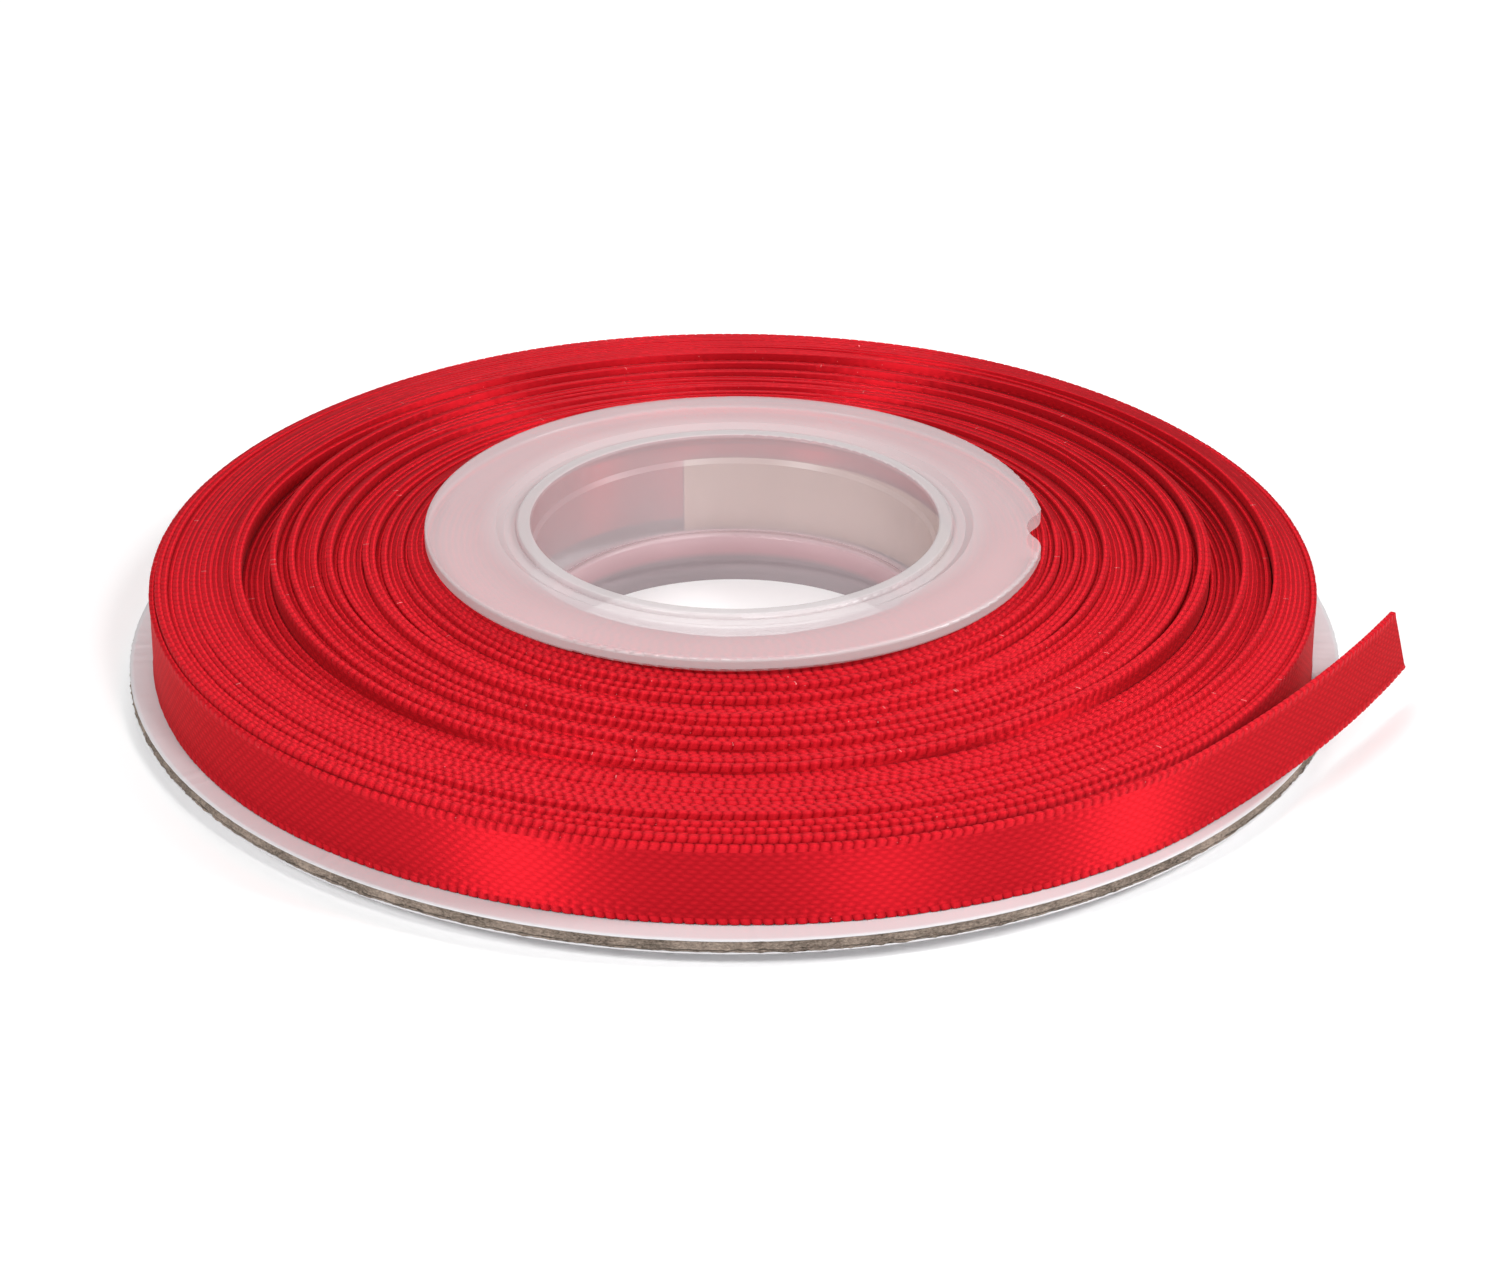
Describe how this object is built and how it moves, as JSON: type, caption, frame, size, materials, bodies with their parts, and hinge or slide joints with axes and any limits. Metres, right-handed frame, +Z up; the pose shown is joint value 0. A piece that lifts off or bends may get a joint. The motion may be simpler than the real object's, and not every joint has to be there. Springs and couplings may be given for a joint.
{
  "type": "ribbon spool",
  "caption": "Narrow red satin ribbon with corded edges, wound on a cardboard disc with a translucent two-part plastic hub; the free end stands off the roll.",
  "frame": {"origin": "on the axis of the hub's bore, in the plane that the hub stands on", "axes": "+Z up along the bore's axis, out of the flanged side of the roll; the ribbon's free end leaves the roll at its -Y side and heads for +X; +X also points through the notch in the flange's edge"},
  "size_m": [0.101, 0.096, 0.0128],
  "materials": {
    "hub_plastic": "satin",
    "greyboard": "matte",
    "liner_paper": "satin",
    "tape_paper": "matte",
    "ribbon_satin": "satin"
  },
  "bodies": {
    "roll": {"hub_upper": "hub_plastic", "hub_lower": "hub_plastic", "start_tape": "tape_paper", "ribbon_inner_turns": "ribbon_satin", "ribbon_middle_turns": "ribbon_satin", "ribbon_outer_turns": "ribbon_satin"},
    "disc": {"disc_board": "greyboard", "liner_top": "liner_paper", "liner_bottom": "liner_paper"},
    "free_end": {"ribbon_free_end": "ribbon_satin"}
  },
  "joints": [
    {"name": "disc_turn", "type": "hinge", "parent": "roll", "child": "disc", "pos_m": [0, 0, 0.00185], "axis": [0, 0, 1], "continuous": true},
    {"name": "free_end_swing", "type": "hinge", "parent": "roll", "child": "free_end", "pos_m": [0.03414, -0.03183, 0.0056], "axis": [0, 0, -1], "range_deg": [0, 70]}
  ]
}
